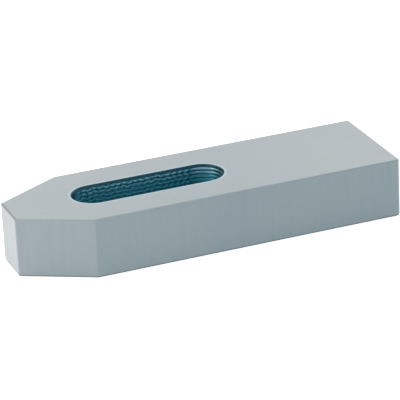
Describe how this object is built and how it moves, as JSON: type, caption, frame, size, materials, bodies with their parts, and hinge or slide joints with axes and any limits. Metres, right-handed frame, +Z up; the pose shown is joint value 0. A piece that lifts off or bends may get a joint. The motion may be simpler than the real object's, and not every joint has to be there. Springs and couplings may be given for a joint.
{
  "type": "plain clamp strap",
  "caption": "Flat steel clamp strap with a tapered nose, a long through slot for a clamping stud and a square heel.",
  "frame": {"origin": "middle of the underside of the strap, at the centre of its bounding box", "axes": "+Y along the strap from the tapered nose to the square heel, +Z up out of the face that the washer bears on, X across the strap"},
  "size_m": [0.05, 0.16, 0.025],
  "materials": {
    "coated_steel": "milled steel under a thin matt grey-blue coating"
  },
  "bodies": {
    "root": {"clamp_strap": "coated_steel"}
  },
  "joints": []
}
